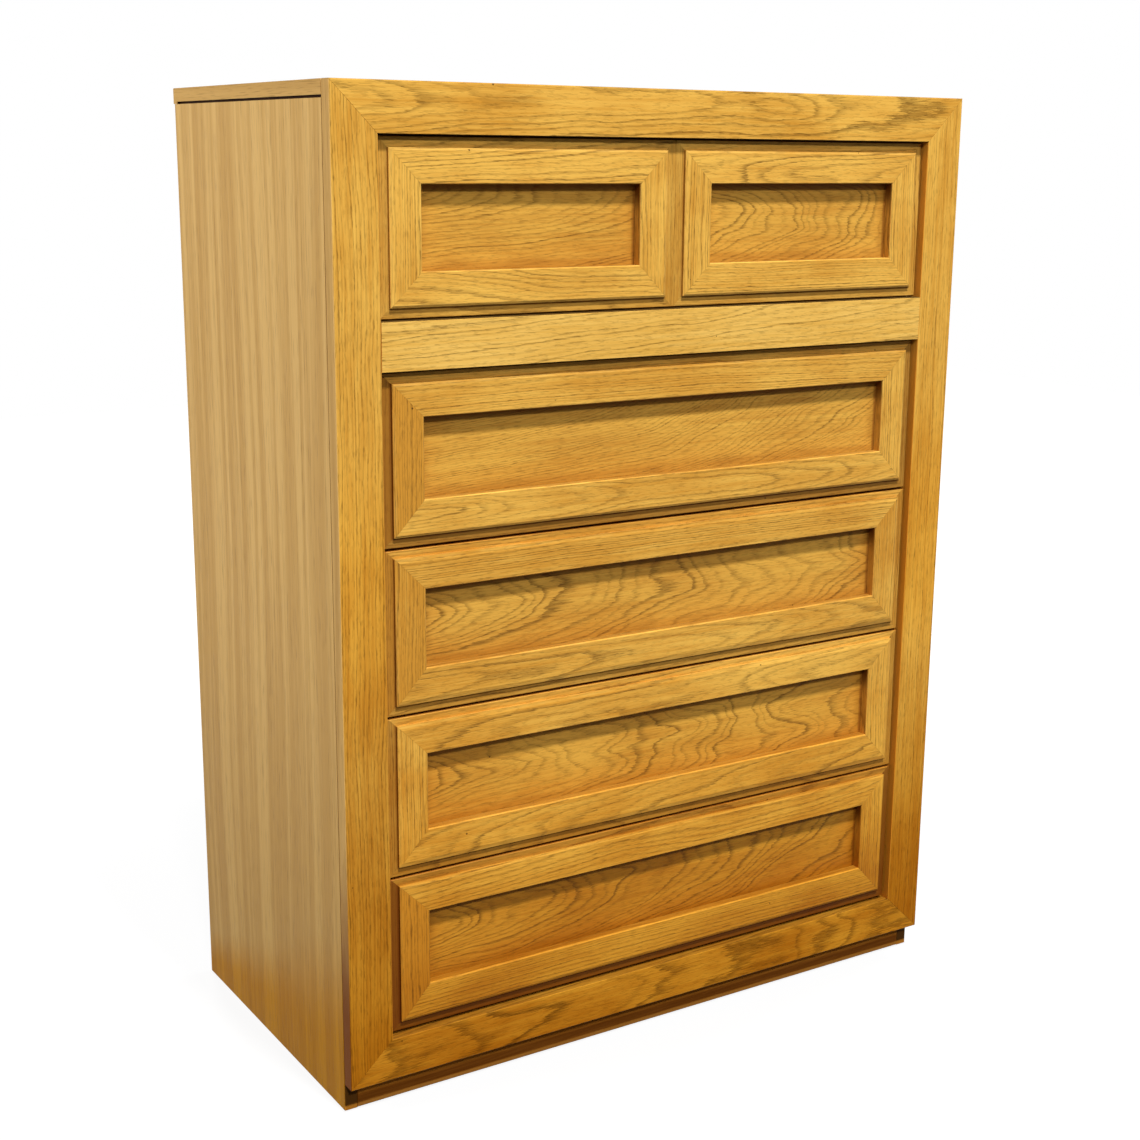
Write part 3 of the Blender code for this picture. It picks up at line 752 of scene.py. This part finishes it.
def drawer_frame(drawer, seed, ledge_glaze_and_shade, left_tone=0.0, top_share=0.2, arris_shade=0.35, paired=False):
    """The stepped, mitred front of a drawer: grain along each member, glaze and painted shade down on the
    ledge.

    The upper ledge takes top_share of the ledge's glaze and painted shade. A paired front has two windows
    side by side.
    """
    node = drawer + "_front_frame"
    middle, half = middle_and_half(node)
    low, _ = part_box(node)
    panel_middle, panel_half = middle_and_half(drawer + ("_panel_right" if paired else "_panel"))
    window_width, window_height = panel_half.x - PANEL_LAP, panel_half.z - PANEL_LAP
    low_member = panel_middle.z - window_height - low[2] - LEDGE
    material, n, shader = start_finish(node + "_oak", FRONT_SHEEN)
    place = n.board_place(Vector((middle.x, low[1], panel_middle.z)), RAIL_WAY)
    across, upright, out = n.split(place)
    from_end = n.math("SUBTRACT", half.x, n.math("ABSOLUTE", across))
    off_middle = n.math("ABSOLUTE", n.math("ADD", upright, panel_middle.z - middle.z))
    from_edge = n.math("MINIMUM", from_end, n.math("SUBTRACT", half.z, off_middle))
    edge_face = n.math("LESS_THAN", from_edge, FRONT_SKIN)
    member_seed = seed
    if paired:
        mirrored = n.math("SUBTRACT", n.math("ABSOLUTE", across), panel_middle.x)
        member_seed = n.scale_add(n.math("GREATER_THAN", across, 0.0), WINDOW_SEED, seed)
        place = n.vector(mirrored, upright, out)
    member = n.place(MITRED, Place=place, Window_Width=window_width, Window_Height=window_height,
                     Low_Scale=MEMBER / low_member, Seed=member_seed)
    heart = (member["Heart Side"], member["Heart Depth"], member["Heart Tilt"])
    figure = cut_figure(n, member["Place"], member["Seed"], heart, FRONT_PITCH, FRONT_WANDER)
    wear = n.place(DISTRESS, Place=place, Seed=member["Seed"])
    outside = member["Outside"]
    sunk = n.rise(out, SUNK_START, SUNK_FULL)

    # Painted shade and glaze on the ledge, deepest at the raised frame's foot, less on the lit upper ledge.
    not_top = n.invert(member["Top"])
    at_frame = n.times(n.fade(n.math("SUBTRACT", outside, MEMBER), 0.0, FOOT_REACH), not_top)
    shaded = n.times(n.scale_add(not_top, 1.0 - top_share, top_share), ledge_glaze_and_shade)
    shade_glaze_and_mitres = n.times(sunk, n.scale_add(at_frame, FOOT_SHADE, shaded))

    # Painted shade on the walls of the window: the sill and the head, and painted shadow in the upper corners
    # of the sides.
    in_window = n.math("LESS_THAN", outside, FRONT_SKIN)
    wall = n.times(sunk, in_window)
    sill = n.times(wall, n.invert(member["Upright"]))
    reveal = n.times(wall, member["Upright"])
    head_shadow = n.rise(upright, 0.1 * window_height, 0.9 * window_height, 0.1, 1.0)
    shade_glaze_and_mitres = n.times(shade_glaze_and_mitres, n.invert(in_window))
    shade_glaze_and_mitres = n.math("MAXIMUM", shade_glaze_and_mitres, n.times(sill, SILL_SHADE))
    shade_glaze_and_mitres = n.math("MAXIMUM", shade_glaze_and_mitres, n.times(reveal, head_shadow))

    # Painted shade on the lit upper outer arris, glaze in the mitres, and none on the front's own edges.
    shoulder = n.times(n.rise(outside, MEMBER - ARRIS_START, MEMBER - ARRIS_FULL),
                       n.math("LESS_THAN", outside, MEMBER + FRONT_SKIN))
    shade_glaze_and_mitres = n.math("MAXIMUM", shade_glaze_and_mitres, n.times(n.times(shoulder, member["Top"]), arris_shade))
    shade_glaze_and_mitres = n.math("MAXIMUM", shade_glaze_and_mitres, n.times(member["Mitre"], MITRE_GLAZE))
    shade_glaze_and_mitres = n.times(shade_glaze_and_mitres, n.invert(edge_face))

    from_shoulder = n.math("ABSOLUTE", n.math("SUBTRACT", outside, MEMBER - RUB_INSET))
    from_arris = n.math("MINIMUM", from_shoulder, n.math("ABSOLUTE", outside))
    rub = n.place(RUBBED, Distance=from_arris, Reach=FRONT_RUB, Place=place)
    streaks = n.scale_add(member["Tone"], TONE_SHARE, figure["Streaks"])
    streaks = n.scale_add(member["Left"], left_tone, streaks)
    coat = stain_oak(n, figure, wear, Streaks=streaks, Glaze=shade_glaze_and_mitres, Rub=n.times(rub["Rub"], n.invert(sunk)),
                     Ring_Depth=FRONT_RING_DEPTH, Low_Reach=FRONT_LOW_REACH, Pale=PALE_GOLD, Deep=DEEP_GOLD)
    # The front's own edges, seen in the gaps, are painted dark as shade.
    colour = n.tint(edge_face, coat["Colour"], EDGE_SHADE)
    join_finish(n, shader, colour, coat["Roughness"], coat["Relief"], SOLID_RELIEF)
    dress(node, material)


def sunk_panel(node, seed, heart, pitch, wander, wash, ring_depth):
    """A veneered centre panel with cathedral figure, and glaze and painted shade round its border."""
    middle, half = middle_and_half(node)
    material, n, shader = start_finish(node + "_oak", FRONT_SHEEN)
    place = n.board_place(middle, RAIL_WAY)
    figure = cut_figure(n, place, seed, heart, pitch, wander)
    wear = n.place(DISTRESS, Place=place, Seed=seed)
    border = n.place(BORDER, Place=place, Half_Width=half.x - PANEL_LAP, Half_Height=half.z - PANEL_LAP,
                     Reach=BORDER_REACH, Seed=seed)
    coat = stain_oak(n, figure, wear, Glaze=border["Glaze"], Wash=n.times(border["Wash"], wash),
                     Ring_Depth=ring_depth, Low_Reach=PANEL_LOW_REACH, Pale=PANEL_PALE, Deep=PANEL_DEEP)
    join_finish(n, shader, coat["Colour"], coat["Roughness"], coat["Relief"], PANEL_RELIEF)
    dress(node, material)


def plain_wood(node, turn, seed):
    """Sanded secondary wood of the drawer boxes and the inside of the case."""
    middle, _ = middle_and_half(node)
    material, n, shader = start_finish(node + "_plain", PLAIN_SHEEN)
    place = n.board_place(middle, turn)
    figure = cut_figure(n, place, seed, heart=(0.03, 0.10, 0.03), pitch=0.0065, wander=0.02)
    wear = n.place(DISTRESS, Place=place, Seed=seed)
    colour = n.blend(n.rise(figure["Streaks"], DARK_LEVEL, LIGHT_LEVEL), PLAIN_DARK, PLAIN_LIGHT)
    colour = n.blend(n.times(figure["Rings"], 0.42), colour, PLAIN_RING)
    colour = n.blend(n.rise(wear["Mottle"], 0.55, 0.80, 0.0, 0.25), colour, PLAIN_DARK)
    rough = n.scale_add(figure["Streaks"], 0.18, 0.48)
    join_finish(n, shader, colour, rough, n.times(figure["Pores"], -1.0), PANEL_RELIEF)
    dress(node, material)


def make_hardboard():
    """Smooth brown hardboard of the back and the drawer bottoms: felted fibres and faint clouds."""
    material, n, shader = start_finish("brown_hardboard", HARDBOARD_SHEEN)
    place = n.object_place()
    fibres = n.noise(place, FIBRE_WAVES, detail=4.0, roughness=0.7)
    clouds = n.noise(place, CLOUD_WAVES, detail=3.0)
    tone = n.scale_add(fibres, 0.82, n.times(clouds, 0.18))
    colour = n.blend(n.rise(tone, DARK_LEVEL, LIGHT_LEVEL), HARDBOARD_DEEP, HARDBOARD_PALE)
    rough = n.scale_add(fibres, 0.25, 0.42)
    join_finish(n, shader, colour, rough, fibres, VENEER_RELIEF)
    return material


def toe_board(node, seed):
    """The toe board, painted dark as shadow under the bottom rail and painted orange as lit along its foot.
    """
    middle, half = middle_and_half(node)
    material, n, shader = start_finish("painted_shade_toe", TOE_SHEEN)
    place = n.board_place(middle, RAIL_WAY)
    figure = cut_figure(n, place, seed, heart=(0.02, 0.09, 0.05), pitch=0.004, wander=0.02)
    patches = n.noise(place, PATCH_WAVES, detail=3.0)
    colour = n.blend(n.rise(figure["Streaks"], DARK_LEVEL, LIGHT_LEVEL), TOE_DARK, TOE_BROWN)
    colour = n.blend(n.times(figure["Rings"], 0.5), colour, TOE_DARK)
    from_foot = n.math("ADD", n.split(place)[1], half.z)
    # Painted shadow under the bottom rail, a little lighter at the top.
    lifted = n.fade(from_foot, SHADE_LIFT, SHADE_LEAST, end=LEAST_SHADE)
    shade = n.times(n.rise(from_foot, SHADE_START, SHADE_FULL), lifted)
    colour = n.tint(shade, colour, TOE_SHADE)
    # The foot is painted as lit, below the shadow.
    ragged = n.scale_add(n.centred(patches), LIT_RAGGED, from_foot)
    colour = n.blend(n.fade(ragged, LIT_FULL, LIT_END, start=LIT_SHARE), colour, TOE_LIT_FOOT)
    rough = n.scale_add(patches, 0.2, 0.45)
    join_finish(n, shader, colour, rough, n.times(figure["Pores"], -1.0), PANEL_RELIEF)
    dress(node, material)


HARDBOARD = make_hardboard()
DRAWER_NUMBERS = range(1, 6)


def dress_case():
    oak_board("face_stile_left", STILE_WAY, 1.0, heart=(0.16, 0.05, 0.02), pitch=0.0046,
              ring_depth=0.58, low_reach=0.8)
    oak_board("face_stile_right", STILE_WAY, 2.0, heart=(-0.15, 0.05, -0.02), pitch=0.0046,
              ring_depth=0.35, low_reach=0.6)
    oak_board("face_rail_top", RAIL_WAY, 3.0, heart=(0.018, 0.05, 0.03), pitch=0.0046)
    oak_board("face_rail_middle", RAIL_WAY, 4.0, heart=(0.09, 0.05, 0.10), pitch=0.0060, wander=0.035,
              ring_depth=0.5, pale=RAIL_PALE, deep=RAIL_DEEP)
    oak_board("face_rail_bottom", RAIL_WAY, 5.6, heart=(0.0, 0.10, 0.09), pitch=0.0085,
              ring_depth=0.9, low_reach=0.22, hidden_edge_shade=0.5)
    side_board("side_panel_left", 1.0)
    side_board("side_panel_right", 2.0)
    top_board("top_board", 3.0, 5.0)
    toe_board("toe_board_front", 4.0)
    plain_wood("toe_board_back", RAIL_WAY, 6.0)
    dress("back_panel", HARDBOARD)
    for number in DRAWER_NUMBERS:
        plain_wood(f"dust_panel_{number}", LAID_FLAT, 10.0 + number)
        plain_wood(f"guide_{number}_left", DEPTH_WAY, 20.0 + number)
        plain_wood(f"guide_{number}_right", DEPTH_WAY, 30.0 + number)


def dress_drawers():
    drawer_frame("drawer_1", 1.0, ledge_glaze_and_shade=0.25, paired=True)
    drawer_frame("drawer_2", 2.0, ledge_glaze_and_shade=0.62, left_tone=-0.35)
    drawer_frame("drawer_3", 3.0, ledge_glaze_and_shade=0.36, left_tone=-0.35, arris_shade=0.15)
    drawer_frame("drawer_4", 4.0, ledge_glaze_and_shade=0.48, arris_shade=0.15)
    drawer_frame("drawer_5", 5.0, ledge_glaze_and_shade=0.85, left_tone=-0.3, top_share=0.55, arris_shade=0.25)
    sunk_panel("drawer_1_panel_left", 1.3, heart=(0.055, 0.06, 0.17), pitch=0.0046, wander=0.03,
               wash=0.5, ring_depth=0.6)
    sunk_panel("drawer_1_panel_right", 2.3, heart=(0.004, 0.09, 0.16), pitch=0.0034, wander=0.05,
               wash=0.4, ring_depth=0.6)
    sunk_panel("drawer_2_panel", 3.3, heart=(0.10, 0.10, 0.25), pitch=0.0032, wander=0.05,
               wash=0.5, ring_depth=0.5)
    sunk_panel("drawer_3_panel", 4.3, heart=(0.015, 0.08, 0.13), pitch=0.0044, wander=0.045,
               wash=0.5, ring_depth=0.68)
    sunk_panel("drawer_4_panel", 5.3, heart=(0.02, 0.12, 0.19), pitch=0.0062, wander=0.09,
               wash=0.6, ring_depth=0.7)
    sunk_panel("drawer_5_panel", 6.3, heart=(0.03, 0.08, 0.16), pitch=0.0046, wander=0.045,
               wash=0.5, ring_depth=0.72)
    for number in DRAWER_NUMBERS:
        drawer = f"drawer_{number}"
        plain_wood(drawer + "_side_left", DEPTH_WAY, 40.0 + number)
        plain_wood(drawer + "_side_right", DEPTH_WAY, 50.0 + number)
        plain_wood(drawer + "_back", RAIL_WAY, 60.0 + number)
        dress(drawer + "_bottom", HARDBOARD)


WHITE = (1.0, 1.0, 1.0, 1.0)

# The floor, in metres: its half width, and how far from the chest its glow starts to rise and is full.
FLOOR_HALF = 6.0
GLOW_START, GLOW_FULL = 0.7, 2.2
FLOOR_GREY = (0.075, 0.075, 0.075, 1.0)
FLOOR_ROUGHNESS = 0.9
NEAR_GLOW, FAR_GLOW = 0.89, 1.0


def lay_floor():
    """A wide pale floor under the chest that keeps its shadow."""
    shape = bmesh.new()
    bmesh.ops.create_grid(shape, x_segments=1, y_segments=1, size=FLOOR_HALF)
    mesh = bpy.data.meshes.new("floor")
    shape.to_mesh(mesh)
    shape.free()
    floor = bpy.data.objects.new("floor", mesh)
    bpy.context.scene.collection.objects.link(floor)
    material, n, shader = start_finish("pale_floor", FLOOR_SHEEN)
    shader.inputs["Base Color"].default_value = FLOOR_GREY
    shader.inputs["Roughness"].default_value = FLOOR_ROUGHNESS
    shader.inputs["Emission Color"].default_value = WHITE
    far = n.add("ShaderNodeVectorMath", operation="LENGTH")
    n.feed(far.inputs[0], n.object_place())
    glow = n.rise(far.outputs["Value"], GLOW_START, GLOW_FULL, NEAR_GLOW, FAR_GLOW)
    n.feed(shader.inputs["Emission Strength"], n.times(n.seen(), glow))
    mesh.materials.append(material)


# Strength of the light that the world casts; to the eye it is plain white.
SOFT_LIGHT = 0.016


def light_world():
    """Even soft light all round, with a white ground behind the chest."""
    world = bpy.data.worlds.new("white_studio")
    bpy.context.scene.world = world
    world.use_nodes = True
    n = Nodes(world.node_tree)
    background = n.tree.nodes["Background"]
    background.inputs["Color"].default_value = WHITE
    n.feed(background.inputs["Strength"], n.scale_add(n.seen(), 1.0 - SOFT_LIGHT, SOFT_LIGHT))


def hang_lamp(name, place, aim, power, size):
    lamp = bpy.data.lights.new(name, "AREA")
    lamp.energy = power
    lamp.size = size
    hung = bpy.data.objects.new(name, lamp)
    hung.location = place
    hung.rotation_euler = (Vector(aim) - Vector(place)).to_track_quat("-Z", "Y").to_euler()
    bpy.context.scene.collection.objects.link(hung)


# Places at half height that the lamps aim at, in metres.
FRONT_AIM = (0.0, -0.25, 0.7)
BACK_AIM = (0.0, 0.25, 0.7)
LEFT_AIM = (-0.48, 0.0, 0.7)
RIGHT_AIM = (0.48, 0.0, 0.7)
FILL_POWER = 118.0
LAMP_SIZE = 0.9


def set_lamps():
    """A high key lamp, a weaker one from the left front, and fill from the sides and the back."""
    hang_lamp("high_lamp", (0.18, -4.93, 10.06), FRONT_AIM, power=1345.0, size=0.8)
    hang_lamp("front_lamp", (-2.9, -8.25, 6.75), FRONT_AIM, power=440.0, size=LAMP_SIZE)
    hang_lamp("left_lamp", (-4.0, 0.6, 2.6), LEFT_AIM, FILL_POWER, LAMP_SIZE)
    hang_lamp("right_lamp", (4.0, 0.6, 2.6), RIGHT_AIM, FILL_POWER, LAMP_SIZE)
    hang_lamp("back_lamp", (0.6, 4.4, 2.6), BACK_AIM, FILL_POWER, LAMP_SIZE)


# The photo's camera: sizes in pixels, place in metres, and a common film width in millimetres.
PHOTO_SIZE = 1140
FOCAL_PIXELS = 1765.5
VIEW_CENTRE = (583.3, 575.1)
CAMERA_PLACE = (-1.3359, -2.1217, 1.2075)
CAMERA_YAW = math.radians(32.579)
CAMERA_PITCH = math.radians(13.483)
CAMERA_ROLL = math.radians(-0.572)
SENSOR_WIDTH = 36.0


def set_camera():
    """The photo's viewpoint: to the left in front, a little lower than the top, looking a little down."""
    ahead = Vector((math.sin(CAMERA_YAW) * math.cos(CAMERA_PITCH),
                    math.cos(CAMERA_YAW) * math.cos(CAMERA_PITCH),
                    -math.sin(CAMERA_PITCH)))
    level = Vector((math.cos(CAMERA_YAW), -math.sin(CAMERA_YAW), 0.0))
    down = ahead.cross(level)
    right = math.cos(CAMERA_ROLL) * level + math.sin(CAMERA_ROLL) * down
    down = math.cos(CAMERA_ROLL) * down - math.sin(CAMERA_ROLL) * level
    data = bpy.data.cameras.new("photo_camera")
    data.sensor_width = SENSOR_WIDTH
    data.lens = FOCAL_PIXELS / PHOTO_SIZE * SENSOR_WIDTH
    data.shift_x = 0.5 - VIEW_CENTRE[0] / PHOTO_SIZE
    data.shift_y = VIEW_CENTRE[1] / PHOTO_SIZE - 0.5
    camera = bpy.data.objects.new("photo_camera", data)
    turn = Matrix((right, -down, -ahead)).transposed()
    camera.matrix_world = Matrix.Translation(CAMERA_PLACE) @ turn.to_4x4()
    bpy.context.scene.collection.objects.link(camera)
    bpy.context.scene.camera = camera


dress_case()
dress_drawers()
lay_floor()
light_world()
set_lamps()
set_camera()
bpy.context.scene.view_settings.view_transform = "Standard"
